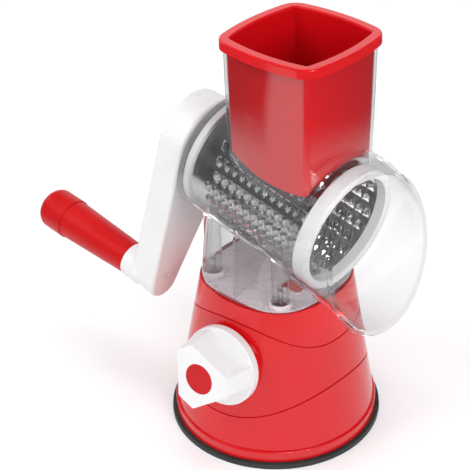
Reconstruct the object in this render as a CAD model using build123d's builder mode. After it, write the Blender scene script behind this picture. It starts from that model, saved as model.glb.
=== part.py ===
from build123d import *
import os
from math import atan2, cos, degrees, radians, sin, sqrt, tan

# Rotary drum shredder on a suction base, in millimetres. The origin is on the base's
# axis at the table, +Z is up, +X is the way the food leaves and -Y faces the knob.

# --- Base ---------------------------------------------------------------------------
cup_radius = 60.0
cup_rim_height = 2.9
cup_rim_width = 8.0
cup_hollow = 2.2
cup_crown = 6.0
cup_boss_radius = 9.0
cup_boss_height = 13.0
seat_gap = 0.3
foot_radius = 57.6
foot_height = 6.7
foot_edge = 0.8
cone_radius = 56.3
base_top = 92.2
base_top_reach = 39.5
base_side_radius = 60.0
base_corner_radius = 26.0
base_top_shift = 1.75
base_wall = 2.4
deck_drop = 1.0
deck_thickness = 2.4
groove_depth = 0.7
groove_sweep = 85.0
groove_width = 0.9
upper_groove_height = 67.4
upper_groove_start = 8.0
upper_groove_radius = 44.0
upper_groove_azimuth = -85.0
lower_groove_height = 26.9
lower_groove_start = 4.0
lower_groove_radius = 75.0
lower_groove_azimuth = 0.0
post_radius = 4.0
post_height = 14.0
post_ring = 47.5
post_count = 4
plate_screw_radius = 1.5
plate_screw_length = 11.0
plate_screw_head = 3.0
plate_screw_head_height = 1.8

# --- Suction knob and cam ---------------------------------------------------------------
knob_azimuth = 5.8
knob_tilt = 9.0
knob_height = 57.8
knob_radius = 22.5
knob_disc = 5.4
knob_face = 24.8
knob_round = 0.8
lobe_sink = 1.0
knob_clearance = 1.4
lobe_turn = 60.0
lobe_count = 3
lobe_angle = 6.0
lobe_reach = 18.6
lobe_flank = 14.0
lobe_draft = 9.0
flank_draft = 5.0
lobe_corner = 1.5
insert_radius = 8.6
insert_depth = 1.6
insert_fit = 0.1
pad_radius = 21.0
pad_depth = 6.0
cam_radius = 5.0
cam_throw = 2.8
cam_pin_radius = 2.5
cam_pin_length = 9.0
cam_journal = 14.0
journal_fit = 0.06
knob_screw_radius = 1.6
knob_screw_head = 3.0
knob_screw_head_height = 1.8
pin_radius = 4.0
pin_guide_height = 16.0
pin_guide_wall = 2.2
yoke_width = 18.0
yoke_height = 16.0
yoke_thickness = 4.0
slot_clearance = 0.5
slot_rise = 1.3
plate_thickness = 2.5
plate_fit = 0.3

# --- Clear housing ---------------------------------------------------------------------
axis_height = 147.7
axis_tilt = 11.05
barrel_radius = 35.0
barrel_wall = 1.6
barrel_rear = -37.0
rear_wall = 2.0
rear_boss_radius = 12.0
rear_boss_length = 3.5
throat_start = 41.0
throat_end = 50.0
throat_radius = 39.2
throat_rise = 2.3
bell_reach = 73.0
bell_drop = 1.4
bell_tilt = 22.0
bell_rim_tall = 42.4
bell_rim_wide = 38.8
bell_wall = 1.6
lip_width = 1.2
lip_depth = 1.8
chute_centre = 18.8
chute_reach = 29.6
chute_side_radius = 110.0
chute_corner = 4.5
chute_draft = 1.0
chute_wall = 1.6
chute_top = 233.0
neck_foot_reach = 38.6
neck_top_reach = 34.0
neck_top = 148.0
neck_wall = 2.0
neck_rib = 1.6
rib_arch_radius = 17.0
boss_radius = 4.6
boss_spacing_x = 48.0
boss_spacing_y = 50.0
boss_centre = 2.0
housing_screw_radius = 1.5
housing_screw_length = 14.0
housing_screw_head = 3.2
housing_screw_head_height = 2.0

# --- Drum ---------------------------------------------------------------------------------
drum_radius = 31.0
drum_wall = 0.8
drum_rear = -31.2
drum_front = 46.0
tooth_rows = 24
teeth_per_row = 12
tooth_pitch = 5.25
tooth_start = -20.5
tooth_length = 4.4
tooth_width = 4.0
tooth_height = 1.2
tooth_skin = 0.4
row_offsets = 3
hub_radius = 32.6
hub_thickness = 3.5
hub_spigot = 4.0
seat_fit = 0.05
ring_rear = 44.0
ring_front = 52.2
ring_radius = 35.0
ring_bore = 30.2
ring_edge = 0.6

# --- Crank and grip --------------------------------------------------------------------------
shaft_radius = 4.0
shaft_fit = 0.06
bush_wall = 2.0
bush_flange = 1.5
arm_front = -44.5
arm_thickness = 18.5
arm_head_radius = 25.6
arm_end_radius = 10.6
arm_draft = 1.6
arm_throw_side = 25.8
arm_throw_down = 87.4
arm_edge = 2.0
arm_boss_radius = 11.0
grip_boss_radius = 10.7
grip_boss_length = 8.0
grip_boss_end = 10.0
grip_boss_start = 13.0
grip_cant = 2.9
grip_root_radius = 9.7
grip_end_radius = 12.3
grip_length = 70.0
grip_cap_length = 20.0
grip_round = 6.3
grip_step = 0.5
grip_gap = 0.4
spindle_radius = 3.0
spindle_head_radius = 5.0
spindle_head = 2.0
vent_count = 3
vent_pitch = 3.2
vent_length = 4.5
vent_width = 1.0
vent_depth = 1.2
vent_share = 0.945
hub_screw_radius = 2.0
hub_screw_head = 6.5
hub_screw_head_height = 3.0

# --- Pusher -------------------------------------------------------------------------------------
pusher_gap = 0.35
pusher_wall = 1.4
pusher_rim_reach = 33.6
pusher_rim_side = 120.0
pusher_rim_corner = 11.0
pusher_rim_height = 5.0
pusher_saddle = 36.5
pusher_floor = 2.2
pusher_edge = 1.0

os.makedirs("parts", exist_ok=True)

barrel = Plane(
    origin=(0, 0, axis_height),
    x_dir=(sin(radians(axis_tilt)), 0, cos(radians(axis_tilt))),
    z_dir=(cos(radians(axis_tilt)), 0, -sin(radians(axis_tilt))),
)


def square_marks(reach, side_radius, corner_radius):
    """Junction and corner points of a square with bowed sides and round corners."""
    offset_in = side_radius - reach
    span = side_radius - corner_radius
    centre = (sqrt(2 * span**2 - offset_in**2) - offset_in) / 2
    scale = side_radius / span
    junction = ((centre + offset_in) * scale - offset_in, centre * scale)
    corner = centre + corner_radius / sqrt(2)
    return reach, junction, corner


def circle_marks(radius, junction):
    """The same marks on a circle, with the junctions on the same rays."""
    angle = atan2(junction[1], junction[0])
    return radius, (radius * cos(angle), radius * sin(angle)), radius / sqrt(2)


def blend_marks(low, high, share):
    """Marks part of the way from one outline to another."""
    mix = lambda a, b: a + (b - a) * share
    junction = tuple(mix(a, b) for a, b in zip(low[1], high[1]))
    return mix(low[0], high[0]), junction, mix(low[2], high[2])


def marked_sketch(plane, marks):
    """Face inside eight arcs through the marks: four sides and four corners.

    The arcs stay apart, also on a circle, so that every loft has eight sides.
    """
    reach, (far, near), corner = marks
    arcs = []
    for quarter in range(4):
        turn = lambda x, y: Vector(x, y).rotate(Axis.Z, 90 * quarter)
        side = [turn(far, -near), turn(reach, 0), turn(far, near)]
        bend = [turn(far, near), turn(corner, corner), turn(near, far)]
        arcs += [Edge.make_three_point_arc(*side), Edge.make_three_point_arc(*bend)]
    return Face(Wire(arcs)).moved(plane.location)


top_marks = square_marks(base_top_reach, base_side_radius, base_corner_radius)
cone_bottom = cup_rim_height + seat_gap + foot_height
deck_top = base_top - deck_drop


def cone_sketch(height, inset):
    """Outline of the base shell at a height, moved inwards by the inset.

    Its centre shifts forward on the way from the round foot to the square top.
    """
    share = (height - cone_bottom) / (base_top - cone_bottom)
    plane = Plane(origin=(base_top_shift * share, 0, height))
    foot = circle_marks(cone_radius - inset, top_marks[1])
    head = square_marks(
        base_top_reach - inset, base_side_radius - inset, base_corner_radius - inset
    )
    return marked_sketch(plane, blend_marks(foot, head, share))


def cone_loft(low, high, inset):
    """Sections of the base shell at two heights, for a ruled loft."""
    return [cone_sketch(low, inset), cone_sketch(high, inset)]


# --- Suction cup: a rubber disc whose rim carries the whole shredder -------------------
with BuildPart() as suction_cup:
    with BuildSketch(Plane.XZ) as cup_profile:
        with BuildLine():
            Polyline(
                (0, cup_hollow),
                (cup_radius - cup_rim_width - cup_crown, cup_hollow),
                (cup_radius - cup_rim_width, 0),
                (cup_radius, 0),
                (cup_radius - seat_gap, cup_rim_height),
                (cup_radius - cup_rim_width, cup_rim_height),
                (cup_boss_radius, cup_crown),
                (cup_boss_radius, cup_boss_height),
                (0, cup_boss_height),
                close=True,
            )
        make_face()
    revolve(axis=Axis.Z)
    with BuildSketch(Plane.XY.offset(cup_crown)) as cup_socket:
        Circle(pin_radius + seat_gap)
    extrude(amount=cup_boss_height - cup_crown, mode=Mode.SUBTRACT)

# --- Base plate: closes the shell over the cup and guides the lift pin -------------------
plate_bottom = cup_boss_height + cam_throw + 2 * seat_gap
plate_top = plate_bottom + plate_thickness
cone_slope = (cone_radius - base_top_reach) / (base_top - cone_bottom)
plate_radius = cone_radius - base_wall - plate_fit - cone_slope * (plate_top - cone_bottom)
post_places = PolarLocations(post_ring, post_count, start_angle=45)
with BuildPart() as base_plate:
    with BuildSketch(Plane.XY.offset(plate_bottom)):
        Circle(plate_radius)
        with post_places:
            Circle(plate_screw_radius + seat_fit, mode=Mode.SUBTRACT)
    extrude(amount=plate_thickness)
    with BuildSketch(Plane.XY.offset(plate_top)):
        Circle(pin_radius + journal_fit + pin_guide_wall)
    extrude(amount=pin_guide_height)
    with BuildSketch(Plane.XY.offset(plate_bottom)):
        Circle(pin_radius + journal_fit)
    extrude(amount=plate_thickness + pin_guide_height, mode=Mode.SUBTRACT)

with BuildPart() as plate_screws:
    with BuildSketch(Plane.XY.offset(plate_bottom)):
        with post_places:
            Circle(plate_screw_radius)
    extrude(amount=plate_screw_length)
    with BuildSketch(Plane.XY.offset(plate_bottom)):
        with post_places:
            Circle(plate_screw_head)
    extrude(amount=-plate_screw_head_height)

# --- Knob axis: square to the leaning front of the shell ----------------------------------
knob_share = (knob_height - cone_bottom) / (base_top - cone_bottom)
knob_reach = cone_radius + (base_top_reach - cone_radius) * knob_share
azimuth = radians(knob_azimuth)
tilt = radians(knob_tilt)
knob_plane = Plane(
    origin=(
        base_top_shift * knob_share + knob_reach * sin(azimuth),
        -knob_reach * cos(azimuth),
        knob_height,
    ),
    x_dir=(cos(azimuth), sin(azimuth), 0),
    z_dir=(sin(azimuth) * cos(tilt), -cos(azimuth) * cos(tilt), sin(tilt)),
)
cam_depth = knob_reach / cos(tilt)

# --- Base shell: round foot, leaning sides and a square top with a sunk deck -----------------
shell_bottom = cup_rim_height + seat_gap
boss_places = GridLocations(boss_spacing_x, boss_spacing_y, 2, 2)


def groove_strip(height, start, radius, direction):
    """Sheet that stays level and then sweeps up in an arc, seen from the side."""
    facing = (cos(radians(direction)), sin(radians(direction)), 0)
    side = Plane(origin=(0, 0, 0), x_dir=facing, z_dir=Vector(facing).cross(Vector(0, 0, 1)))
    with BuildPart() as strip:
        with BuildSketch(side):
            with BuildLine():
                Line((-2 * cup_radius, height), (start, height))
                CenterArc((start, height + radius), radius, 270, groove_sweep)
            trace(line_width=groove_width)
        extrude(amount=2 * cup_radius, both=True)
    return strip.part


with BuildPart() as grooves:
    loft(sections=cone_loft(cone_bottom, base_top, -groove_depth), ruled=True)
    loft(
        sections=cone_loft(cone_bottom, base_top, groove_depth),
        ruled=True,
        mode=Mode.SUBTRACT,
    )
    strips = [
        groove_strip(
            upper_groove_height, upper_groove_start, upper_groove_radius, upper_groove_azimuth
        ),
        groove_strip(
            lower_groove_height, lower_groove_start, lower_groove_radius, lower_groove_azimuth
        ),
    ]
    add(strips, mode=Mode.INTERSECT)

with BuildPart() as base_shell:
    with BuildSketch(Plane.XY.offset(shell_bottom)):
        Circle(foot_radius)
    extrude(amount=foot_height)
    fillet(base_shell.edges().group_by(Axis.Z)[-1], foot_edge)
    loft(sections=cone_loft(cone_bottom, base_top, 0), ruled=True)
    with BuildSketch(knob_plane):
        Circle(pad_radius)
    extrude(amount=-pad_depth)
    with BuildSketch(Plane.XY.offset(shell_bottom)):
        Circle(cone_radius - base_wall)
    extrude(amount=foot_height, mode=Mode.SUBTRACT)
    loft(
        sections=cone_loft(cone_bottom, deck_top - deck_thickness, base_wall),
        ruled=True,
        mode=Mode.SUBTRACT,
    )
    loft(sections=cone_loft(deck_top, base_top, base_wall), ruled=True, mode=Mode.SUBTRACT)
    with BuildSketch(knob_plane):
        Circle(cam_radius + pin_guide_wall)
    extrude(amount=-cam_journal)
    with BuildSketch(Plane.XY.offset(plate_top)):
        with post_places:
            Circle(post_radius)
    extrude(amount=post_height)
    with BuildSketch(Plane.XY.offset(plate_top)):
        with post_places:
            Circle(plate_screw_radius + seat_fit)
    extrude(amount=plate_screw_length, mode=Mode.SUBTRACT)
    with BuildSketch(knob_plane.offset(knob_clearance)):
        Circle(cam_radius + journal_fit)
    extrude(amount=-cam_journal - knob_clearance, mode=Mode.SUBTRACT)
    with BuildSketch(Plane((boss_centre, 0, deck_top))):
        with boss_places:
            Circle(housing_screw_radius + seat_fit)
    extrude(amount=-deck_thickness, mode=Mode.SUBTRACT)
    add(grooves.part, mode=Mode.SUBTRACT)

with BuildPart() as housing_screws:
    with BuildSketch(Plane((boss_centre, 0, deck_top - deck_thickness))):
        with boss_places:
            Circle(housing_screw_radius)
    extrude(amount=housing_screw_length)
    with BuildSketch(Plane((boss_centre, 0, deck_top - deck_thickness))):
        with boss_places:
            Circle(housing_screw_head)
    extrude(amount=-housing_screw_head_height)

# --- Lock knob: round skirt under a grip with three lobes --------------------------------------
lobe_bottom = knob_clearance + knob_disc


def lobed_sketch(height, reach, flank):
    """Triangle with cut corners: ends at the reach, flanks at their own distance."""
    turn = radians(lobe_turn)
    half_end = (flank - reach * cos(turn)) / sin(turn)
    points = []
    for lobe in range(lobe_count):
        heading = lobe_angle + 360 / lobe_count * lobe
        for side in (-half_end, half_end):
            points.append(Vector(reach, side).rotate(Axis.Z, heading))
    with BuildSketch(knob_plane.offset(height)) as outline:
        with BuildLine():
            Polyline(points, close=True)
        make_face()
        fillet(outline.vertices(), lobe_corner)
    return outline.sketch


lobe_rise = knob_face - lobe_bottom
with BuildPart() as lock_knob:
    with BuildSketch(knob_plane.offset(knob_clearance)):
        Circle(knob_radius)
    extrude(amount=knob_disc)
    fillet(lock_knob.edges().filter_by(GeomType.CIRCLE), knob_round)
    loft(
        sections=[
            lobed_sketch(
                lobe_bottom - lobe_sink,
                lobe_reach + lobe_rise * tan(radians(lobe_draft)),
                lobe_flank + lobe_rise * tan(radians(flank_draft)),
            ),
            lobed_sketch(knob_face, lobe_reach, lobe_flank),
        ],
        ruled=True,
    )
    with BuildSketch(knob_plane.offset(knob_face)):
        Circle(insert_radius + insert_fit)
    extrude(amount=-insert_depth, mode=Mode.SUBTRACT)
    with BuildSketch(knob_plane.offset(knob_clearance)):
        Circle(cam_radius + seat_fit)
    extrude(amount=lobe_rise / 2, mode=Mode.SUBTRACT)
    with BuildSketch(knob_plane.offset(knob_face - insert_depth)):
        Circle(knob_screw_head + insert_fit)
    extrude(amount=-knob_screw_head_height - insert_fit, mode=Mode.SUBTRACT)
    with BuildSketch(knob_plane.offset(knob_clearance)):
        Circle(knob_screw_radius + seat_fit)
    extrude(amount=knob_face - insert_depth - knob_clearance, mode=Mode.SUBTRACT)

with BuildPart() as knob_insert:
    with BuildSketch(knob_plane.offset(knob_face - insert_depth)):
        Circle(insert_radius)
    extrude(amount=insert_depth)

cam_end = knob_clearance + lobe_rise / 2
screw_seat = knob_face - insert_depth - knob_screw_head_height - insert_fit
with BuildPart() as knob_screw:
    with BuildSketch(knob_plane.offset(screw_seat)):
        Circle(knob_screw_head)
    extrude(amount=knob_screw_head_height)
    with BuildSketch(knob_plane.offset(screw_seat)):
        Circle(knob_screw_radius)
    extrude(amount=-(screw_seat - knob_clearance))

with BuildPart() as cam_shaft:
    with BuildSketch(knob_plane.offset(cam_end)):
        Circle(cam_radius)
        Circle(knob_screw_radius + seat_fit, mode=Mode.SUBTRACT)
    extrude(amount=-(cam_end - knob_clearance))
    with BuildSketch(knob_plane.offset(knob_clearance)):
        Circle(cam_radius)
    extrude(amount=-(knob_clearance + cam_depth - yoke_thickness / 2 - slot_rise))
    with BuildSketch(knob_plane.offset(-cam_depth - cam_pin_length / 2)):
        with Locations((cam_throw, 0)):
            Circle(cam_pin_radius)
    extrude(amount=cam_pin_length)

# --- Lift pin: rides in the plate's guide, with an eye round the cam pin --------------------------
cam_height = knob_height - knob_reach * tan(tilt)
pin_bottom = cup_crown + seat_gap
yoke_plane = Plane(
    origin=(base_top_shift * knob_share, 0, cam_height),
    x_dir=knob_plane.x_dir,
    z_dir=(sin(azimuth), -cos(azimuth), 0),
)
slot_reach = cam_throw + cam_pin_radius + slot_clearance
with BuildPart() as lift_pin:
    with BuildSketch(Plane.XY.offset(pin_bottom)):
        Circle(pin_radius)
    extrude(amount=cam_height - yoke_height / 2 - pin_bottom + pin_radius / 2)
    with BuildSketch(yoke_plane):
        RectangleRounded(yoke_width, yoke_height, yoke_thickness / 2)
    extrude(amount=yoke_thickness / 2, both=True)
    with BuildSketch(yoke_plane):
        with Locations((0, (slot_rise - slot_clearance) / 2)):
            RectangleRounded(
                2 * slot_reach,
                2 * cam_pin_radius + slot_clearance + slot_rise,
                cam_pin_radius,
            )
    extrude(amount=yoke_thickness, both=True, mode=Mode.SUBTRACT)

# --- Clear housing: barrel, feed chute, flared mouth and neck in one moulding -----------------------
rim_turn = radians(bell_tilt)
rim_plane = Plane(
    origin=barrel.from_local_coords(Vector(-bell_drop, 0, bell_reach)),
    x_dir=barrel.x_dir * cos(rim_turn) - barrel.z_dir * sin(rim_turn),
    z_dir=barrel.z_dir * cos(rim_turn) + barrel.x_dir * sin(rim_turn),
)


def neck_loft(inset):
    """Sections of the neck, from the base's top up into the barrel."""
    sections = []
    for height, reach in ((base_top, neck_foot_reach), (neck_top, neck_top_reach)):
        marks = square_marks(
            reach - inset, base_side_radius - inset, base_corner_radius - inset
        )
        sections.append(marked_sketch(Plane((base_top_shift, 0, height)), marks))
    return sections


def bell_loft(inset):
    """Sections of the mouth, from the round throat to the slanted oval rim."""
    with BuildSketch(barrel.offset(throat_end)) as throat:
        with Locations((throat_rise, 0)):
            Circle(throat_radius - inset)
    with BuildSketch(rim_plane) as rim:
        Ellipse(bell_rim_tall - inset, bell_rim_wide - inset)
    return [throat.sketch, rim.sketch]


def chute_loft(inset, top):
    """Sections of the chute, which widens from the barrel's axis up to its top."""
    sections = []
    for height in (axis_height, top):
        reach = chute_reach + (height - axis_height) * tan(radians(chute_draft)) - inset
        marks = square_marks(reach, chute_side_radius - inset, chute_corner - inset)
        sections.append(marked_sketch(Plane((chute_centre, 0, height)), marks))
    return sections


with BuildPart() as neck_hollow:
    loft(sections=neck_loft(neck_wall), ruled=True)
    with BuildSketch(barrel.offset(2 * barrel_rear)):
        Circle(barrel_radius)
    extrude(amount=throat_start - 2 * barrel_rear, mode=Mode.SUBTRACT)
    with BuildSketch(barrel.offset(throat_start)):
        with Locations((throat_rise, 0)):
            Circle(throat_radius)
    extrude(amount=throat_end - throat_start, mode=Mode.SUBTRACT)

with BuildPart() as arch_rib:
    add(neck_hollow.part)
    with BuildSketch(Plane.YZ.offset(boss_centre)):
        Rectangle(2 * base_top, 2 * axis_height)
        with Locations((0, base_top)):
            Circle(rib_arch_radius, mode=Mode.SUBTRACT)
    extrude(amount=neck_rib / 2, both=True, mode=Mode.INTERSECT)

with BuildPart() as clear_housing:
    loft(sections=neck_loft(0), ruled=True)
    with BuildSketch(barrel.offset(barrel_rear)):
        Circle(barrel_radius)
    extrude(amount=throat_start + barrel_wall - barrel_rear)
    with BuildSketch(barrel.offset(barrel_rear)):
        Circle(rear_boss_radius)
    extrude(amount=-rear_boss_length)
    with BuildSketch(barrel.offset(throat_start)):
        with Locations((throat_rise, 0)):
            Circle(throat_radius)
    extrude(amount=throat_end - throat_start)
    loft(sections=bell_loft(0), ruled=True)
    with BuildSketch(rim_plane):
        Ellipse(bell_rim_tall + lip_width, bell_rim_wide + lip_width)
    extrude(amount=-lip_depth)
    loft(sections=chute_loft(0, chute_top), ruled=True)
    add(neck_hollow.part, mode=Mode.SUBTRACT)
    add(arch_rib.part)
    with BuildSketch(Plane((boss_centre, 0, deck_top))):
        with boss_places:
            Circle(boss_radius)
    extrude(amount=neck_top - deck_top)
    loft(sections=chute_loft(chute_wall, chute_top), ruled=True, mode=Mode.SUBTRACT)
    with BuildSketch(barrel.offset(barrel_rear + rear_wall)):
        Circle(barrel_radius - barrel_wall)
    extrude(amount=throat_end - barrel_rear - rear_wall, mode=Mode.SUBTRACT)
    with BuildSketch(barrel.offset(throat_start + barrel_wall)):
        with Locations((throat_rise, 0)):
            Circle(throat_radius - bell_wall)
    extrude(amount=throat_end - throat_start - barrel_wall, mode=Mode.SUBTRACT)
    loft(sections=bell_loft(bell_wall), ruled=True, mode=Mode.SUBTRACT)
    with BuildSketch(barrel.offset(barrel_rear + rear_wall)):
        Circle(shaft_radius + shaft_fit + bush_wall + seat_fit)
    extrude(amount=-rear_wall - rear_boss_length, mode=Mode.SUBTRACT)
    with BuildSketch(Plane((boss_centre, 0, deck_top))):
        with boss_places:
            Circle(housing_screw_radius + seat_fit)
    extrude(amount=housing_screw_length, mode=Mode.SUBTRACT)

# --- Drum: rear hub, toothed steel blade and front ring ---------------------------------------------
hub_rear = drum_rear - hub_thickness
with BuildPart() as drum_rear_hub:
    with BuildSketch(barrel.offset(hub_rear)):
        Circle(hub_radius)
    extrude(amount=hub_thickness)
    with BuildSketch(barrel.offset(drum_rear)):
        Circle(drum_radius - drum_wall - seat_fit)
    extrude(amount=hub_spigot)
    with BuildSketch(barrel.offset(hub_rear)):
        Circle(shaft_radius + seat_fit)
    extrude(amount=hub_thickness + hub_spigot, mode=Mode.SUBTRACT)

with BuildPart() as drum_front_ring:
    with BuildSketch(barrel.offset(ring_rear)):
        Circle(ring_radius)
        Circle(ring_bore, mode=Mode.SUBTRACT)
    extrude(amount=ring_front - ring_rear)
    chamfer(drum_front_ring.edges().filter_by(GeomType.CIRCLE), ring_edge)
    with BuildSketch(barrel.offset(ring_rear)):
        Circle(drum_radius + seat_fit)
    extrude(amount=drum_front - ring_rear, mode=Mode.SUBTRACT)

with BuildPart(Plane.XY) as hood:
    with BuildSketch(Plane.YZ.offset(-tooth_width / 2)):
        with BuildLine():
            Polyline(
                (0, -drum_wall / 2), (tooth_length, -drum_wall / 2), (0, tooth_height), close=True
            )
        make_face()
    extrude(amount=tooth_width)

with BuildPart(Plane.XY) as hood_throat:
    with BuildSketch(Plane.YZ.offset(tooth_skin - tooth_width / 2)):
        with BuildLine():
            Polyline(
                (-tooth_skin, -2 * drum_wall),
                (tooth_length / 2, -2 * drum_wall),
                (tooth_length / 2, 0),
                (0, tooth_height - 2 * tooth_skin),
                (-tooth_skin, tooth_height - 2 * tooth_skin),
                close=True,
            )
        make_face()
    extrude(amount=tooth_width - 2 * tooth_skin)

tooth_places = []
for row in range(tooth_rows):
    heading = 360 / tooth_rows * row
    shift = tooth_pitch * (row % row_offsets) / row_offsets
    for tooth in range(teeth_per_row):
        place = barrel.location * Rotation(0, 0, heading)
        along = tooth_start + shift + tooth_pitch * tooth
        tooth_places.append(place * Location((drum_radius, 0, along), (90, 90, 0)))

with BuildPart() as drum_blade:
    with BuildSketch(barrel.offset(drum_rear)):
        Circle(drum_radius)
        Circle(drum_radius - drum_wall, mode=Mode.SUBTRACT)
    extrude(amount=drum_front - drum_rear)
    add([hood.part.moved(place) for place in tooth_places])
    add([hood_throat.part.moved(place) for place in tooth_places], mode=Mode.SUBTRACT)

# --- Shaft, bush and crank --------------------------------------------------------------------------
boss_rear = barrel_rear - rear_boss_length
arm_rear = arm_front - arm_thickness
shaft_front = drum_rear + hub_spigot
screw_sink = hub_screw_head_height + seat_gap
shaft_rear = arm_rear + screw_sink + bush_flange
with BuildPart() as shaft_bush:
    with BuildSketch(barrel.offset(barrel_rear + rear_wall)):
        Circle(shaft_radius + shaft_fit + bush_wall)
    extrude(amount=-rear_wall - rear_boss_length)
    with BuildSketch(barrel.offset(boss_rear)):
        Circle(shaft_radius + 2 * bush_wall)
    extrude(amount=-bush_flange)
    with BuildSketch(barrel.offset(barrel_rear + rear_wall)):
        Circle(shaft_radius + shaft_fit)
    extrude(amount=-rear_wall - rear_boss_length - bush_flange, mode=Mode.SUBTRACT)

with BuildPart() as drive_shaft:
    with BuildSketch(barrel.offset(shaft_front)):
        Circle(shaft_radius)
    extrude(amount=shaft_rear - shaft_front)
    with BuildSketch(barrel.offset(shaft_rear)):
        Circle(hub_screw_radius + seat_fit)
    extrude(amount=arm_thickness / 2, mode=Mode.SUBTRACT)

cant = radians(grip_cant)
arm_centre = (-arm_throw_down, arm_throw_side)
grip_plane = Plane(
    origin=barrel.from_local_coords(Vector(*arm_centre, arm_rear)),
    x_dir=barrel.y_dir,
    z_dir=barrel.z_dir * -cos(cant) - barrel.x_dir * sin(cant),
)
grip_side = Plane(
    origin=grip_plane.origin, x_dir=grip_plane.x_dir, z_dir=grip_plane.x_dir.cross(grip_plane.z_dir)
)
grip_axis = Axis(grip_plane.origin, grip_plane.z_dir)


def arm_sketch(depth, inset):
    """Outline of the arm round its two ends, moved inwards by the inset."""
    with BuildSketch(barrel.offset(depth)) as outline:
        Circle(arm_head_radius - inset)
        with Locations(arm_centre):
            Circle(arm_end_radius - inset)
        make_hull()
    return outline.sketch


with BuildPart() as crank_arm:
    loft(sections=[arm_sketch(arm_front, 0), arm_sketch(arm_rear, arm_draft)], ruled=True)
    arm_faces = crank_arm.faces().filter_by(Axis(barrel.origin, barrel.z_dir))
    fillet(arm_faces.edges(), arm_edge)
    with BuildSketch(barrel.offset(arm_front)):
        Circle(arm_boss_radius)
    extrude(amount=boss_rear - bush_flange - seat_gap - arm_front)
    with BuildSketch(grip_side):
        with BuildLine():
            Polyline(
                (0, -grip_boss_start),
                (arm_end_radius - arm_draft - arm_edge, -grip_boss_start),
                (grip_boss_radius, -arm_edge),
                (grip_boss_end, grip_boss_length),
                (0, grip_boss_length),
                close=True,
            )
        make_face()
    revolve(axis=grip_axis)
    with BuildSketch(barrel.offset(arm_rear)):
        Circle(hub_screw_head + seat_gap)
    extrude(amount=screw_sink, mode=Mode.SUBTRACT)
    with BuildSketch(barrel.offset(arm_rear)):
        Circle(hub_screw_radius + seat_fit)
    extrude(amount=arm_thickness, mode=Mode.SUBTRACT)
    with BuildSketch(barrel.offset(shaft_rear)):
        Circle(shaft_radius + seat_fit)
    extrude(amount=2 * arm_thickness, mode=Mode.SUBTRACT)
    with BuildSketch(grip_plane.offset(-grip_boss_start)):
        Circle(spindle_radius + seat_fit)
    extrude(amount=grip_boss_start + grip_boss_length, mode=Mode.SUBTRACT)
    arm_turn = degrees(atan2(arm_throw_side, -arm_throw_down))
    vent_centre = (arm_centre[0] * vent_share, arm_centre[1] * vent_share)
    with BuildSketch(barrel.offset(arm_front)):
        with Locations(Location((*vent_centre, 0), (0, 0, arm_turn))):
            with GridLocations(0, vent_pitch, 1, vent_count):
                SlotOverall(vent_length, vent_width)
    extrude(amount=-vent_depth, mode=Mode.SUBTRACT)

with BuildPart() as hub_screw:
    with BuildSketch(barrel.offset(arm_rear + screw_sink)):
        Circle(hub_screw_head)
    extrude(amount=-hub_screw_head_height)
    with BuildSketch(barrel.offset(arm_rear + screw_sink)):
        Circle(hub_screw_radius)
    extrude(amount=bush_flange + arm_thickness / 2 - seat_gap)

grip_start = grip_boss_length + grip_gap
grip_end = grip_start + grip_length
cap_start = grip_end - grip_cap_length
with BuildPart() as grip_spindle:
    with BuildSketch(grip_plane.offset(-grip_boss_start)):
        Circle(spindle_radius)
    extrude(amount=grip_boss_start + cap_start + seat_gap)
    with BuildSketch(grip_plane.offset(cap_start + seat_gap)):
        Circle(spindle_head_radius)
    extrude(amount=spindle_head)

with BuildPart() as handle_grip:
    with BuildSketch(grip_side):
        with BuildLine():
            Polyline(
                (spindle_radius + shaft_fit, grip_start),
                (grip_root_radius, grip_start),
                (grip_end_radius - grip_step, cap_start),
                (spindle_radius + shaft_fit, cap_start),
                close=True,
            )
        make_face()
    revolve(axis=grip_axis)

with BuildPart() as grip_cap:
    with BuildSketch(grip_side):
        with BuildLine():
            Line((0, cap_start), (grip_end_radius, cap_start))
            Line((grip_end_radius, cap_start), (grip_end_radius, grip_end - grip_round))
            RadiusArc(
                (grip_end_radius, grip_end - grip_round),
                (grip_end_radius - grip_round, grip_end),
                -grip_round,
            )
            Line((grip_end_radius - grip_round, grip_end), (0, grip_end))
            Line((0, grip_end), (0, cap_start))
        make_face()
    revolve(axis=grip_axis)
    with BuildSketch(grip_plane.offset(cap_start)):
        Circle(spindle_head_radius + grip_step)
    extrude(amount=spindle_head + 3 * seat_gap, mode=Mode.SUBTRACT)

# --- Pusher: hollow cup whose floor follows the drum ---------------------------------------------------
pusher_inset = chute_wall + pusher_gap
with BuildPart() as pusher_hollow:
    loft(sections=chute_loft(pusher_inset + pusher_wall, chute_top + pusher_rim_height), ruled=True)
    with BuildSketch(barrel.offset(2 * barrel_rear)):
        Circle(pusher_saddle + pusher_floor)
    extrude(amount=-4 * barrel_rear, mode=Mode.SUBTRACT)

with BuildPart() as pusher:
    loft(sections=chute_loft(pusher_inset, chute_top), ruled=True)
    rim_marks = square_marks(pusher_rim_reach, pusher_rim_side, pusher_rim_corner)
    add(marked_sketch(Plane((chute_centre, 0, chute_top)), rim_marks))
    extrude(amount=pusher_rim_height)
    with BuildSketch(barrel.offset(2 * barrel_rear)):
        Circle(pusher_saddle)
    extrude(amount=-4 * barrel_rear, mode=Mode.SUBTRACT)
    add(pusher_hollow.part, mode=Mode.SUBTRACT)
    fillet(pusher.edges().group_by(Axis.Z)[-1], pusher_edge)

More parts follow.
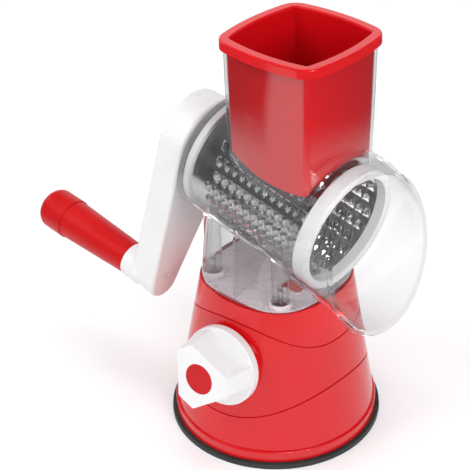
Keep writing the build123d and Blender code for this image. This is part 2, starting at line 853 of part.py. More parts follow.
pieces = {
    "suction_cup": suction_cup,
    "base_plate": base_plate,
    "plate_screws": plate_screws,
    "base_shell": base_shell,
    "housing_screws": housing_screws,
    "lock_knob": lock_knob,
    "knob_insert": knob_insert,
    "knob_screw": knob_screw,
    "cam_shaft": cam_shaft,
    "lift_pin": lift_pin,
    "clear_housing": clear_housing,
    "drum_rear_hub": drum_rear_hub,
    "drum_front_ring": drum_front_ring,
    "drum_blade": drum_blade,
    "shaft_bush": shaft_bush,
    "drive_shaft": drive_shaft,
    "crank_arm": crank_arm,
    "hub_screw": hub_screw,
    "grip_spindle": grip_spindle,
    "handle_grip": handle_grip,
    "grip_cap": grip_cap,
    "pusher": pusher,
}
for name, piece in pieces.items():
    piece.part.label = name
    export_step(piece.part, f"parts/{name}.step")
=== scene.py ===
from math import cos, pi, radians, sin

import bmesh
import bpy
from mathutils import Matrix, Vector


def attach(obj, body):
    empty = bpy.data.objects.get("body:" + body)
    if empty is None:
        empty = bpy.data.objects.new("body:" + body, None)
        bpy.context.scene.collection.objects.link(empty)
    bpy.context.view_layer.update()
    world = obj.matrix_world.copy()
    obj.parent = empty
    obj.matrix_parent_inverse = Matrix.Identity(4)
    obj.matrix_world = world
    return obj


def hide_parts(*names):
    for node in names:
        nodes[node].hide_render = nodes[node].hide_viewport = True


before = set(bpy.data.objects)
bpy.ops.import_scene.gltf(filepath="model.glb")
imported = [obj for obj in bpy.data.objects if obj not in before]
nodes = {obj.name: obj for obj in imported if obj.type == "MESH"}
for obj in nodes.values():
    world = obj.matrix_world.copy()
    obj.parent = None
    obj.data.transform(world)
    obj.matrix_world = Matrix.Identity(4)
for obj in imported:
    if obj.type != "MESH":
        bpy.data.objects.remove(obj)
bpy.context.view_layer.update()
scene = bpy.context.scene
print("frame loaded:", len(nodes), "nodes")


def addObject(name, data):
    thing = bpy.data.objects.new(name, data)
    scene.collection.objects.link(thing)
    return thing


# camera at the photograph's angle: turns in degrees, lengths in millimetres from the base's axis
cameraSetup = {
    "azimuth": 43.2,
    "elevation": 32.3,
    "roll": -1.62,
    "distance": 783.4,
    "side": -21.1,
    "height": 115.1,
    "focalPixels": 1446.3,
    "framePixels": 470,
    "sensor": 36.0,
}


def placeCamera(setup):
    turn, rise = radians(setup["azimuth"]), radians(setup["elevation"])
    right = Vector((cos(turn), sin(turn), 0))
    back = Vector((sin(turn) * cos(rise), -cos(turn) * cos(rise), sin(rise)))
    up = back.cross(right)
    lean = radians(setup["roll"])
    across = right * cos(lean) + up * sin(lean)
    upward = up * cos(lean) - right * sin(lean)
    aim = Vector((0, 0, setup["height"])) + right * setup["side"]
    place = (aim + back * setup["distance"]) / 1000  # millimetres to metres
    data = bpy.data.cameras.new("camera")
    data.sensor_width = setup["sensor"]
    data.lens = setup["focalPixels"] / setup["framePixels"] * setup["sensor"]
    camera = addObject("camera", data)
    turned = Matrix((across, upward, back)).transposed().to_4x4()
    camera.matrix_world = Matrix.Translation(place) @ turned
    scene.camera = camera


placeCamera(cameraSetup)
print("camera placed")


def addNode(tree, kind, **settings):
    node = tree.nodes.new(kind)
    for key, value in settings.items():
        if key in node.inputs:
            node.inputs[key].default_value = value
        else:
            setattr(node, key, value)
    return node


def makeGroup(name, inputs, outputs):
    group = bpy.data.node_groups.new(name, "ShaderNodeTree")
    for label, value in inputs.items():
        socket = group.interface.new_socket(
            label, in_out="INPUT", socket_type="NodeSocketFloat"
        )
        socket.default_value = value
    for label in outputs:
        group.interface.new_socket(label, in_out="OUTPUT", socket_type="NodeSocketFloat")
    start = group.nodes.new("NodeGroupInput")
    end = group.nodes.new("NodeGroupOutput")
    return group, start, end


# the noises of the shared effects: how fine each is, how far the streaks are drawn out, and
# the band of values that most of a noise lies in
noiseSetup = {
    "fineDetail": 2.0,
    "slowDetail": 3.0,
    "smudgeDetail": 5.0,
    "streakDetail": 6.0,
    "streakRoughness": 0.7,
    "streakStretch": (1.0, 1.0, 9.0),
    "streakTurn": (0.5, 0.3, 0.0),
    "middleBand": (0.3, 0.7),
}


def blendNoises(group, share, first, second):
    mixed = addNode(group, "ShaderNodeMix", data_type="FLOAT")
    group.links.new(share, mixed.inputs["Factor"])
    group.links.new(first.outputs["Fac"], mixed.inputs["A"])
    group.links.new(second.outputs["Fac"], mixed.inputs["B"])
    return mixed.outputs["Result"]


# fine moulded texture with a slow waviness under it, as on injection-moulded plastic
def makeMouldGrain(setup):
    inputs = {"Fine Scale": 900.0, "Slow Scale": 30.0, "Slow Share": 0.5}
    group, start, end = makeGroup("mouldGrain", inputs, ["Height", "Tone"])
    place = addNode(group, "ShaderNodeTexCoord")
    fine = addNode(group, "ShaderNodeTexNoise", Detail=setup["fineDetail"])
    slow = addNode(group, "ShaderNodeTexNoise", Detail=setup["slowDetail"])
    for noise, label in ((fine, "Fine Scale"), (slow, "Slow Scale")):
        group.links.new(place.outputs["Object"], noise.inputs["Vector"])
        group.links.new(start.outputs[label], noise.inputs["Scale"])
    height = blendNoises(group, start.outputs["Slow Share"], fine, slow)
    group.links.new(height, end.inputs["Height"])
    group.links.new(slow.outputs["Fac"], end.inputs["Tone"])
    return group


# handling marks: thin, faint streaks and soft smudges
def makeHandling(setup):
    inputs = {"Smudge Scale": 25.0, "Streak Scale": 60.0, "Streak Share": 0.4}
    group, start, end = makeGroup("handlingMarks", inputs, ["Mask"])
    place = addNode(group, "ShaderNodeTexCoord")
    smudge = addNode(group, "ShaderNodeTexNoise", Detail=setup["smudgeDetail"])
    group.links.new(place.outputs["Object"], smudge.inputs["Vector"])
    group.links.new(start.outputs["Smudge Scale"], smudge.inputs["Scale"])
    stretch = addNode(group, "ShaderNodeMapping")
    stretch.inputs["Scale"].default_value = setup["streakStretch"]
    stretch.inputs["Rotation"].default_value = setup["streakTurn"]
    group.links.new(place.outputs["Object"], stretch.inputs["Vector"])
    streak = addNode(group, "ShaderNodeTexNoise", Detail=setup["streakDetail"])
    streak.inputs["Roughness"].default_value = setup["streakRoughness"]
    group.links.new(stretch.outputs["Vector"], streak.inputs["Vector"])
    group.links.new(start.outputs["Streak Scale"], streak.inputs["Scale"])
    mask = blendNoises(group, start.outputs["Streak Share"], smudge, streak)
    group.links.new(mask, end.inputs["Mask"])
    return group


mouldGrain = makeMouldGrain(noiseSetup)
handlingMarks = makeHandling(noiseSetup)
print("shared effects built")


def startMaterial(name, sockets):
    material = bpy.data.materials.new(name)
    material.use_nodes = True
    tree = material.node_tree
    surface = tree.nodes["Principled BSDF"]
    for label, value in sockets.items():
        surface.inputs[label].default_value = value
    return material, tree, surface


def placeGroup(tree, group, values):
    node = tree.nodes.new("ShaderNodeGroup")
    node.node_tree = group
    for key, value in values.items():
        node.inputs[key].default_value = value
    return node


def spread(tree, source, low, high):
    # maps a noise's middle band to the range low..high
    ranged = addNode(tree, "ShaderNodeMapRange")
    ranged.inputs["From Min"].default_value = noiseSetup["middleBand"][0]
    ranged.inputs["From Max"].default_value = noiseSetup["middleBand"][1]
    ranged.inputs["To Min"].default_value = low
    ranged.inputs["To Max"].default_value = high
    tree.links.new(source, ranged.inputs["Value"])
    return ranged.outputs["Result"]


def tint(tree, mask, first, second):
    mixed = addNode(tree, "ShaderNodeMix", data_type="RGBA")
    sockets = [socket for socket in mixed.inputs if socket.type == "RGBA"]
    sockets[0].default_value = (*first, 1.0)
    sockets[1].default_value = (*second, 1.0)
    tree.links.new(mask, mixed.inputs["Factor"])
    return [socket for socket in mixed.outputs if socket.type == "RGBA"][0]


def switchShader(tree, mask, usual, other):
    # the other shader where the mask is 1
    mixed = addNode(tree, "ShaderNodeMixShader")
    tree.links.new(mask, mixed.inputs["Fac"])
    tree.links.new(usual, mixed.inputs[1])
    tree.links.new(other, mixed.inputs[2])
    return mixed.outputs["Shader"]


def finishSurface(tree, surface, look):
    # a look's two near colours if it has them, its roughness range and its grain
    grain = placeGroup(tree, mouldGrain, look["grain"])
    marks = placeGroup(tree, handlingMarks, look["marks"])
    if "colours" in look:
        colour = tint(tree, spread(tree, grain.outputs["Tone"], 0.0, 1.0), *look["colours"])
        tree.links.new(colour, surface.inputs["Base Color"])
    rough = spread(tree, marks.outputs["Mask"], *look["roughness"])
    tree.links.new(rough, surface.inputs["Roughness"])
    bump = addNode(tree, "ShaderNodeBump", Strength=look["bump"], Distance=look["bumpDepth"])
    tree.links.new(grain.outputs["Height"], bump.inputs["Height"])
    tree.links.new(bump.outputs["Normal"], surface.inputs["Normal"])


# opaque mouldings: shell, grip, white pieces, cup and bush
shellRed = {
    "colours": [(0.575, 0.003, 0.006), (0.62, 0.005, 0.009)],
    "roughness": (0.16, 0.24),
    "coat": 0.3,
    "coatRoughness": 0.06,
    "ior": 1.5,
    "specular": 0.5,
    "grain": {"Fine Scale": 1400.0, "Slow Scale": 14.0, "Slow Share": 0.85},
    "marks": {"Smudge Scale": 22.0, "Streak Scale": 50.0, "Streak Share": 0.3},
    "bump": 0.12,
    "bumpDepth": 0.0006,
}
gripRed = {
    "colours": [(0.47, 0.003, 0.004), (0.52, 0.005, 0.007)],
    "roughness": (0.28, 0.38),
    "coat": 0.0,
    "coatRoughness": 0.15,
    "ior": 1.48,
    "specular": 0.3,
    "grain": {"Fine Scale": 1100.0, "Slow Scale": 35.0, "Slow Share": 0.55},
    "marks": {"Smudge Scale": 35.0, "Streak Scale": 90.0, "Streak Share": 0.4},
    "bump": 0.15,
    "bumpDepth": 0.0004,
}
plainWhite = {
    "colours": [(0.72, 0.715, 0.72), (0.77, 0.765, 0.77)],
    "roughness": (0.24, 0.36),
    "coat": 0.15,
    "coatRoughness": 0.12,
    "ior": 1.49,
    "specular": 0.5,
    "grain": {"Fine Scale": 1200.0, "Slow Scale": 20.0, "Slow Share": 0.8},
    "marks": {"Smudge Scale": 28.0, "Streak Scale": 70.0, "Streak Share": 0.35},
    "bump": 0.12,
    "bumpDepth": 0.0005,
}
cupRubber = {
    "colours": [(0.022, 0.024, 0.023), (0.036, 0.04, 0.038)],
    "roughness": (0.45, 0.65),
    "coat": 0.0,
    "coatRoughness": 0.3,
    "ior": 1.5,
    "specular": 0.35,
    "grain": {"Fine Scale": 1600.0, "Slow Scale": 60.0, "Slow Share": 0.4},
    "marks": {"Smudge Scale": 30.0, "Streak Scale": 60.0, "Streak Share": 0.5},
    "bump": 0.3,
    "bumpDepth": 0.0003,
}
bushNylon = {
    "colours": [(0.42, 0.42, 0.41), (0.5, 0.5, 0.49)],
    "roughness": (0.4, 0.55),
    "coat": 0.0,
    "coatRoughness": 0.3,
    "ior": 1.53,
    "specular": 0.4,
    "grain": {"Fine Scale": 900.0, "Slow Scale": 60.0, "Slow Share": 0.4},
    "marks": {"Smudge Scale": 40.0, "Streak Scale": 80.0, "Streak Share": 0.4},
    "bump": 0.15,
    "bumpDepth": 0.0003,
}


def mouldedPlastic(name, look):
    sockets = {
        "Coat Weight": look["coat"],
        "Coat Roughness": look["coatRoughness"],
        "IOR": look["ior"],
        "Specular IOR Level": look["specular"],
    }
    material, tree, surface = startMaterial(name, sockets)
    finishSurface(tree, surface, look)
    return material


# see-through moulding: thin clear walls that bend light little, with a glossy skin
clearLook = {
    "faceOn": (0.955, 0.955, 0.96),
    "alongWall": (0.50, 0.50, 0.52),
    "toneBlend": 0.35,
    "ior": 1.02,
    "skin": 1.0,
    "skinIor": 1.5,
    "skinRoughness": 0.0,
    "shadowTint": (0.99, 0.985, 0.99, 1.0),
    "roughness": (0.0, 0.03),
    "grain": {"Fine Scale": 60.0, "Slow Scale": 16.0, "Slow Share": 0.8},
    "marks": {"Smudge Scale": 18.0, "Streak Scale": 60.0, "Streak Share": 0.5},
    "bump": 0.06,
    "bumpDepth": 0.0008,
}


def clearPlastic(name, look):
    sockets = {
        "IOR": look["ior"],
        "Transmission Weight": 1.0,
        "Coat Weight": look["skin"],
        "Coat IOR": look["skinIor"],
        "Coat Roughness": look["skinRoughness"],
    }
    material, tree, surface = startMaterial(name, sockets)
    finishSurface(tree, surface, look)
    facing = addNode(tree, "ShaderNodeLayerWeight", Blend=look["toneBlend"])
    tone = tint(tree, facing.outputs["Facing"], look["faceOn"], look["alongWall"])
    tree.links.new(tone, surface.inputs["Base Color"])
    # lamps shine through it
    rays = addNode(tree, "ShaderNodeLightPath")
    through = addNode(tree, "ShaderNodeBsdfTransparent", Color=look["shadowTint"])
    whole = switchShader(
        tree, rays.outputs["Is Shadow Ray"], surface.outputs["BSDF"], through.outputs["BSDF"]
    )
    tree.links.new(whole, tree.nodes["Material Output"].inputs["Surface"])
    return material


# floor and boss cups of the neck, milky where the mould left them matt, with a painted pink cast
# of red light from the red shell beneath
milkyRedCastLook = {
    # the milky white is the mould's own; the pink in these colours is painted red light from the
    # shell below
    "colours": [(0.96, 0.84, 0.88), (1.0, 0.93, 0.96)],
    "roughness": (0.18, 0.4),
    "transmission": 0.5,
    "ior": 1.05,
    "skin": 0.6,
    "grain": {"Fine Scale": 700.0, "Slow Scale": 70.0, "Slow Share": 0.7},
    "marks": {"Smudge Scale": 45.0, "Streak Scale": 120.0, "Streak Share": 0.6},
    "bump": 0.4,
    "bumpDepth": 0.0006,
}


def milkyRedCastPlastic(name, look):
    sockets = {
        "IOR": look["ior"],
        "Transmission Weight": look["transmission"],
        "Coat Weight": look["skin"],
    }
    material, tree, surface = startMaterial(name, sockets)
    finishSurface(tree, surface, look)
    return material


# polished sheet of the drum, and duller steel of screws, shaft and spindle
bladeSteel = {
    "colours": [(0.80, 0.81, 0.81), (0.90, 0.90, 0.90)],
    "roughness": (0.10, 0.24),
    "grain": {"Fine Scale": 900.0, "Slow Scale": 120.0, "Slow Share": 0.5},
    "marks": {"Smudge Scale": 40.0, "Streak Scale": 220.0, "Streak Share": 0.7},
    "bump": 0.08,
    "bumpDepth": 0.0002,
}
fixingSteel = {
    "colours": [(0.52, 0.52, 0.53), (0.62, 0.62, 0.63)],
    "roughness": (0.22, 0.38),
    "grain": {"Fine Scale": 1500.0, "Slow Scale": 200.0, "Slow Share": 0.4},
    "marks": {"Smudge Scale": 60.0, "Streak Scale": 300.0, "Streak Share": 0.6},
    "bump": 0.15,
    "bumpDepth": 0.0002,
}


def steel(name, look):
    material, tree, surface = startMaterial(name, {"Metallic": 1.0})
    finishSurface(tree, surface, look)
    return material


redShell = mouldedPlastic("redShell", shellRed)
redGrip = mouldedPlastic("redGrip", gripRed)
whitePlastic = mouldedPlastic("whitePlastic", plainWhite)
rubber = mouldedPlastic("rubber", cupRubber)
nylon = mouldedPlastic("nylon", bushNylon)
clear = clearPlastic("clearPlastic", clearLook)
milkyRedCast = milkyRedCastPlastic("milkyRedCastPlastic", milkyRedCastLook)
blade = steel("bladeSteel", bladeSteel)
fixing = steel("fixingSteel", fixingSteel)
print("materials built")

nodeFinish = {
    "suction_cup": rubber,
    "base_plate": whitePlastic,
    "plate_screws": fixing,
    "base_shell": redShell,
    "housing_screws": fixing,
    "lock_knob": whitePlastic,
    "knob_insert": redGrip,
    "knob_screw": fixing,
    "cam_shaft": nylon,
    "lift_pin": nylon,
    "clear_housing": clear,
    "drum_rear_hub": whitePlastic,
    "drum_front_ring": whitePlastic,
    "shaft_bush": nylon,
    "drive_shaft": fixing,
    "crank_arm": whitePlastic,
    "hub_screw": fixing,
    "grip_spindle": fixing,
    "handle_grip": redGrip,
    "grip_cap": redGrip,
    "pusher": redShell,
}
for name, finish in nodeFinish.items():
    data = nodes[name].data
    data.materials.clear()
    data.materials.append(finish)
print("finishes given to the solids")


def meshFrom(name, shape):
    mesh = bpy.data.meshes.new(name)
    shape.to_mesh(mesh)
    shape.free()
    return mesh


def builtMesh(piece):
    # the piece's mesh with its modifiers or its curve settings worked in
    bpy.context.view_layer.update()
    graph = bpy.context.evaluated_depsgraph_get()
    return bpy.data.meshes.new_from_object(piece.evaluated_get(graph))


def smoothAndDress(piece, finish, crease):
    # smooth but for edges sharper than the crease, in degrees
    for face in piece.data.polygons:
        face.use_smooth = True
    piece.data.set_sharp_from_angle(angle=radians(crease))
    piece.data.materials.clear()
    piece.data.materials.append(finish)


# toothed steel drum: a sheet rolled round the barrel's axis, with evenly turned rows of scoops
barrelAxis = {"height": 0.1477, "tilt": 11.05}
steelDrum = {
    "rear": -0.0312,
    "front": 0.046,
    "radius": 0.0307,
    "wall": 0.0006,
    "rows": 24,
    "teethPerRow": 12,
    "pitch": 0.00525,
    "firstTooth": -0.0183,
    "rowShifts": 3,
    "stepsPerRow": 12,
    "stepsPerPitch": 9,
    "toothSteps": 7,
    "toothWidth": 0.0047,
    "toothHeight": 0.0023,
    "flare": 0.35,
    "fullness": 0.55,
    "hornReach": 0.0011,
    "hornPlace": 0.62,
    "shortHorn": 0.55,
    "openAbove": 0.0007,
    "crease": 42.0,
}


def barrelPoint(along, heading, reach):
    tilt = radians(barrelAxis["tilt"])
    up, side = reach * cos(heading), reach * sin(heading)
    x = up * sin(tilt) + along * cos(tilt)
    z = barrelAxis["height"] + up * cos(tilt) - along * sin(tilt)
    return Vector((x, -side, z))


def scoopShape(setup, step, offset):
    # step counts from the scoop's low back to its open mouth, offset runs from its middle line;
    # gives how far the sheet is raised there, and how far the mouth's edge reaches forward
    share = step / setup["toothSteps"]
    if not 0 < share <= 1:
        return 0.0, 0.0
    across = offset / (setup["toothWidth"] / 2 * share ** setup["flare"])
    if abs(across) >= 1:
        return 0.0, 0.0
    raised = setup["toothHeight"] * share ** setup["fullness"] * (1 - across**2) ** 0.5
    if share < 1:
        return raised, 0.0
    # the mouth's edge has two horns, one of them shorter
    fromHorn = (abs(across) - setup["hornPlace"]) / (1 - setup["hornPlace"])
    forward = setup["hornReach"] * max(0.0, 1 - fromHorn**2)
    return raised, forward * (1.0 if across > 0 else setup["shortHorn"])


def scoopAt(setup, row, step, along):
    # the shape of the row's nearest scoop, or flat sheet past the row's ends
    shift = setup["pitch"] * (row % setup["rowShifts"]) / setup["rowShifts"]
    tooth = round((along - setup["firstTooth"] - shift) / setup["pitch"])
    if not 0 <= tooth < setup["teethPerRow"]:
        return 0.0, 0.0
    offset = along - setup["firstTooth"] - shift - tooth * setup["pitch"]
    return scoopShape(setup, step, offset)


def drumStations(setup):
    # places along the axis: few behind the first tooth, then even ones up to the front
    cell = setup["pitch"] / setup["stepsPerPitch"]
    first = setup["firstTooth"] - setup["pitch"]
    count = round((setup["front"] - first) / cell)
    stations = [setup["rear"], (setup["rear"] + first) / 2]
    return stations + [first + cell * index for index in range(count)] + [setup["front"]]


def rollSheet(setup):
    stations = drumStations(setup)
    steps = setup["rows"] * setup["stepsPerRow"]
    half = setup["stepsPerRow"] // 2
    shape = bmesh.new()
    rings, heights = [], []
    for place in range(steps):
        row, step = divmod(place + half, setup["stepsPerRow"])
        row %= setup["rows"]
        # the mouth faces the way in which the heading falls
        step = half - step + setup["toothSteps"] // 2
        heading = 2 * pi * place / steps
        ring, levels = [], []
        for along in stations:
            level, forward = scoopAt(setup, row, step, along)
            reach = setup["radius"] + level
            ring.append(shape.verts.new(barrelPoint(along, heading - forward / reach, reach)))
            levels.append(level)
        rings.append(ring)
        heights.append(levels)
    for place in range(steps):
        nextPlace = (place + 1) % steps
        near, far = rings[place], rings[nextPlace]
        for index in range(len(stations) - 1):
            here = heights[place][index : index + 2]
            there = heights[nextPlace][index : index + 2]
            # left out where it would close a scoop's mouth
            if max(here) == 0 and max(there) > setup["openAbove"]:
                continue
            shape.faces.new((near[index], near[index + 1], far[index + 1], far[index]))
    bmesh.ops.recalc_face_normals(shape, faces=shape.faces)
    return shape


def makeDrum(setup):
    drum = addObject("toothedDrum", meshFrom("toothedDrum", rollSheet(setup)))
    thick = drum.modifiers.new("sheet", "SOLIDIFY")
    thick.thickness = setup["wall"]
    thick.offset = 0.0
    solid = builtMesh(drum)
    drum.modifiers.clear()
    drum.data = solid
    smoothAndDress(drum, blade, setup["crease"])
    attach(drum, "crank")
    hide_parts("drum_blade")


makeDrum(steelDrum)
print("toothed drum rolled")


# inside of the clear neck: a floor on the deck and a cup round each screw boss
neckInside = {
    "centre": (0.00175, 0.0),
    "reach": 0.0355,
    "corner": 0.0225,
    "cornerSteps": 10,
    "low": 0.0916,
    "floorThick": 0.0014,
    "floorEdge": 0.0002,
    "bossCentre": 0.002,
    "bossSpacing": (0.048, 0.050),
    "bossHole": 0.0051,
    "circleSteps": 32,
    "gate": (0.019, -0.004),
    "gateSize": 0.0065,
    "gateCornerShare": 1 / 3,
    "gateCornerSteps": 4,
    "cupRadius": 0.0064,
    "cupHeight": 0.0032,
    "cupWall": 0.0009,
    "cupGap": 0.0001,
    "cupEdge": 0.0003,
    "crease": 40.0,
}


def closedSpline(curve, points):
    spline = curve.splines.new("POLY")
    spline.points.add(len(points) - 1)
    for point, (x, y) in zip(spline.points, points):
        point.co = (x, y, 0.0, 1.0)
    spline.use_cyclic_u = True


def circlePoints(x, y, radius, count):
    turns = [2 * pi * index / count for index in range(count)]
    return [(x + radius * cos(turn), y + radius * sin(turn)) for turn in turns]


def roundedSquare(x, y, reach, corner, perCorner):
    diagonal = (reach - corner) * 2**0.5
    points = []
    for quarter in range(4):
        middle = pi / 2 * quarter + pi / 4
        cornerX, cornerY = x + diagonal * cos(middle), y + diagonal * sin(middle)
        for index in range(perCorner + 1):
            turn = pi / 2 * (quarter + index / perCorner)
            points.append((cornerX + corner * cos(turn), cornerY + corner * sin(turn)))
    return points


def bossPlaces(setup):
    wide, deep = setup["bossSpacing"]
    sides = [(x, y) for x in (-1, 1) for y in (-1, 1)]
    return [(setup["bossCentre"] + x * wide / 2, y * deep / 2) for x, y in sides]


def flatPiece(name, loops, low, thick, edge):
    # a plate between closed outlines, its edges rounded by edge
    curve = bpy.data.curves.new(name, "CURVE")
    curve.dimensions = "2D"
    curve.fill_mode = "BOTH"
    curve.extrude = thick / 2 - edge
    curve.bevel_depth = edge
    curve.offset = -edge
    for loop in loops:
        closedSpline(curve, loop)
    outline = addObject(name + "Outline", curve)
    mesh = builtMesh(outline)
    bpy.data.objects.remove(outline)
    for vertex in mesh.vertices:
        vertex.co.z += low + thick / 2
    return addObject(name, mesh)


def fitInNeck(piece, setup):
    smoothAndDress(piece, milkyRedCast, setup["crease"])
    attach(piece, "housing")


def makeNeckInside(setup):
    bosses = bossPlaces(setup)
    around = setup["circleSteps"]
    outer = (*setup["centre"], setup["reach"], setup["corner"], setup["cornerSteps"])
    gateCorner = setup["gateSize"] * setup["gateCornerShare"]
    gate = (*setup["gate"], setup["gateSize"], gateCorner, setup["gateCornerSteps"])
    loops = [roundedSquare(*outer)]
    loops += [circlePoints(*place, setup["bossHole"], around) for place in bosses]
    loops.append(roundedSquare(*gate))
    plate = flatPiece("neckFloor", loops, setup["low"], setup["floorThick"], setup["floorEdge"])
    fitInNeck(plate, setup)
    cupLow = setup["low"] + setup["floorThick"] + setup["cupGap"]
    for number, place in enumerate(bosses):
        radii = (setup["cupRadius"], setup["cupRadius"] - setup["cupWall"])
        loops = [circlePoints(*place, radius, around) for radius in radii]
        name = "bossCup" + str(number + 1)
        cup = flatPiece(name, loops, cupLow, setup["cupHeight"], setup["cupEdge"])
        fitInNeck(cup, setup)


makeNeckInside(neckInside)
print("neck's inside made")


# floor, lamps and world; lengths in metres, turns in degrees
studio = {
    "floorHalf": 6.0,
    "floorColour": (0.86, 0.86, 0.87),
    "floorGlow": 0.08,
    "cardReach": (0.30, 0.40),
    "cardCentre": (0.0, 0.0, 0.0),
    "cardLevel": 0.85,
    "farLevel": 0.07,
    "runnerTurn": -15.0,
    "runnerHalf": (0.09, 0.16),
    "runnerStart": (-0.1, 0.0),
    "backTurn": 223.2,
    "backFrom": (0.35, 0.6),
    "backLevel": 0.9,
    "wallBand": (0.72, 0.85),
    "ambient": 0.55,
    "backdrop": 1.0,
    "skyStops": [(0.0, 0.06), (0.5, 0.06), (0.62, 0.10), (0.8, 0.06), (1.0, 0.12)],
    "lamps": [
        # name, place, size, watts, whether polished and clear things show it
        ("keyLamp", (-0.7, -1.1, 1.25), 0.8, 10.0, False),
        ("sideLamp", (1.3, -0.35, 0.75), 0.5, 7.5, True),
        ("topLamp", (0.15, 0.25, 1.7), 1.0, 9.0, False),
        ("lowFill", (0.9, -1.2, 0.25), 0.8, 5.0, False),
        ("rearSoftbox", (-1.2, -0.25, 0.9), 0.35, 2.0, True),
    ],
    "aim": (0.0, 0.0, 0.12),
}


def hasBounced(tree, depth):
    # 1 where the ray has bounced in this way at least once
    above = addNode(tree, "ShaderNodeMath", operation="GREATER_THAN")
    above.inputs[1].default_value = 0.5  # halfway between no bounce and one
    tree.links.new(depth, above.inputs[0])
    return above.outputs[0]


def stripMask(tree, source, turn, band, twoSided):
    # how far source lies towards a heading, turned into a soft step between the band's values
    way = addNode(tree, "ShaderNodeVectorMath", operation="DOT_PRODUCT")
    way.inputs[1].default_value = (sin(radians(turn)), -cos(radians(turn)), 0.0)
    tree.links.new(source, way.inputs[0])
    value = way.outputs["Value"]
    if twoSided:
        size = addNode(tree, "ShaderNodeMath", operation="ABSOLUTE")
        tree.links.new(value, size.inputs[0])
        value = size.outputs[0]
    step = addNode(tree, "ShaderNodeMapRange", interpolation_type="SMOOTHSTEP")
    step.inputs["From Min"].default_value = band[0]
    step.inputs["From Max"].default_value = band[1]
    step.inputs["To Min"].default_value = 1.0 if twoSided else 0.0
    step.inputs["To Max"].default_value = 0.0 if twoSided else 1.0
    tree.links.new(value, step.inputs["Value"])
    return step.outputs["Result"]


def joinValues(tree, operation, first, second):
    joined = addNode(tree, "ShaderNodeMath", operation=operation)
    tree.links.new(first, joined.inputs[0])
    tree.links.new(second, joined.inputs[1])
    return joined.outputs[0]


def mirroredLevel(tree, setup):
    # bright round the object and dark beyond
    place = addNode(tree, "ShaderNodeNewGeometry").outputs["Position"]
    apart = addNode(tree, "ShaderNodeVectorMath", operation="DISTANCE")
    apart.inputs[1].default_value = setup["cardCentre"]
    tree.links.new(place, apart.inputs[0])
    fall = addNode(tree, "ShaderNodeMapRange", interpolation_type="SMOOTHSTEP")
    fall.inputs["From Min"].default_value = setup["cardReach"][0]
    fall.inputs["From Max"].default_value = setup["cardReach"][1]
    fall.inputs["To Min"].default_value = setup["cardLevel"]
    fall.inputs["To Max"].default_value = setup["farLevel"]
    tree.links.new(apart.outputs["Value"], fall.inputs["Value"])
    # a white runner leads away from the near corner, and a white wall stands behind
    turn = setup["runnerTurn"]
    runner = stripMask(tree, place, turn + 90, setup["runnerHalf"], True)
    ahead = stripMask(tree, place, turn, setup["runnerStart"], False)
    runner = joinValues(tree, "MULTIPLY", runner, ahead)
    behind = stripMask(tree, place, setup["backTurn"], setup["backFrom"], False)
    level = fall.outputs["Result"]
    for mask, bright in ((runner, setup["cardLevel"]), (behind, setup["backLevel"])):
        scaled = addNode(tree, "ShaderNodeMath", operation="MULTIPLY")
        scaled.inputs[1].default_value = bright
        tree.links.new(mask, scaled.inputs[0])
        level = joinValues(tree, "MAXIMUM", level, scaled.outputs[0])
    return level


def floorCard(setup):
    material = bpy.data.materials.new("floorCard")
    material.use_nodes = True
    tree = material.node_tree
    tree.nodes.clear()
    rays = addNode(tree, "ShaderNodeLightPath")
    # seen directly or through clear plastic it is a pale card that keeps the shadow
    matte = addNode(tree, "ShaderNodeBsdfDiffuse", Color=(*setup["floorColour"], 1.0))
    glow = addNode(tree, "ShaderNodeEmission", Strength=setup["floorGlow"])
    seen = addNode(tree, "ShaderNodeAddShader")
    tree.links.new(matte.outputs[0], seen.inputs[0])
    tree.links.new(glow.outputs[0], seen.inputs[1])
    # mirrored it glows as the card, runner and wall
    card = addNode(tree, "ShaderNodeEmission")
    tree.links.new(mirroredLevel(tree, setup), card.inputs["Strength"])
    mirrored = hasBounced(tree, rays.outputs["Glossy Depth"])
    lit = switchShader(tree, mirrored, seen.outputs[0], card.outputs[0])
    # light that has bounced off matt things sees plain matte
    scattered = hasBounced(tree, rays.outputs["Diffuse Depth"])
    whole = switchShader(tree, scattered, lit, matte.outputs[0])
    out = addNode(tree, "ShaderNodeOutputMaterial")
    tree.links.new(whole, out.inputs["Surface"])
    return material


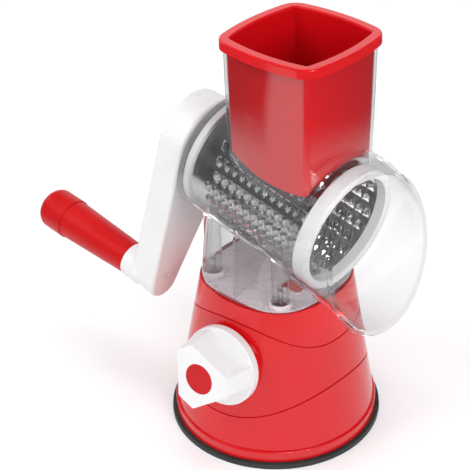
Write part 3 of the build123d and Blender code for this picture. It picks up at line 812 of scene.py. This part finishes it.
def skyBands(tree, direction, stops):
    # a dark room with faint bands, from straight down to straight up
    axes = addNode(tree, "ShaderNodeSeparateXYZ")
    tree.links.new(direction, axes.inputs[0])
    lifted = addNode(tree, "ShaderNodeMapRange")
    lifted.inputs["From Min"].default_value = -1.0
    lifted.inputs["From Max"].default_value = 1.0
    tree.links.new(axes.outputs["Z"], lifted.inputs["Value"])
    bands = addNode(tree, "ShaderNodeValToRGB")
    bands.color_ramp.interpolation = "EASE"
    ramp = bands.color_ramp.elements
    while len(ramp) < len(stops):
        ramp.new(0.5)
    for stop, (position, value) in zip(ramp, stops):
        stop.position = position
        stop.color = (value, value, value, 1.0)
    tree.links.new(lifted.outputs["Result"], bands.inputs["Fac"])
    dark = addNode(tree, "ShaderNodeBackground", Strength=1.0)
    tree.links.new(bands.outputs["Color"], dark.inputs["Color"])
    return dark.outputs[0]


def whiteBackground(tree, level):
    return addNode(tree, "ShaderNodeBackground", Color=(1, 1, 1, 1), Strength=level).outputs[0]


def studioWorld(setup):
    world = bpy.data.worlds.new("studio")
    scene.world = world
    world.use_nodes = True
    tree = world.node_tree
    tree.nodes.clear()
    rays = addNode(tree, "ShaderNodeLightPath")
    direction = addNode(tree, "ShaderNodeTexCoord").outputs["Generated"]
    # polished parts mirror the dark room with a white wall behind
    dark = skyBands(tree, direction, setup["skyStops"])
    behind = stripMask(tree, direction, setup["backTurn"], setup["wallBand"], False)
    room = switchShader(tree, behind, dark, whiteBackground(tree, setup["backLevel"]))
    # seen directly it is a white backdrop, and matt things get an even, softer light
    mirrored = hasBounced(tree, rays.outputs["Glossy Depth"])
    shown = switchShader(tree, mirrored, whiteBackground(tree, setup["backdrop"]), room)
    scattered = hasBounced(tree, rays.outputs["Diffuse Depth"])
    whole = switchShader(tree, scattered, shown, whiteBackground(tree, setup["ambient"]))
    out = addNode(tree, "ShaderNodeOutputWorld")
    tree.links.new(whole, out.inputs["Surface"])


def layFloor(setup):
    half = setup["floorHalf"]
    shape = bmesh.new()
    corners = ((-half, -half), (half, -half), (half, half), (-half, half))
    shape.faces.new([shape.verts.new((x, y, 0)) for x, y in corners])
    floor = addObject("floor", meshFrom("floor", shape))
    floor.data.materials.append(floorCard(setup))


def hangLamps(setup):
    for name, place, size, watts, shown in setup["lamps"]:
        data = bpy.data.lights.new(name, "AREA")
        data.size = size
        data.energy = watts
        lamp = addObject(name, data)
        lamp.location = place
        lamp.visible_glossy = shown
        lamp.visible_transmission = shown
        lamp.rotation_mode = "QUATERNION"
        aim = Vector(setup["aim"]) - lamp.location
        lamp.rotation_quaternion = aim.to_track_quat("-Z", "Y")


layFloor(studio)
hangLamps(studio)
studioWorld(studio)
scene.view_settings.view_transform = "Standard"
print("studio lit")
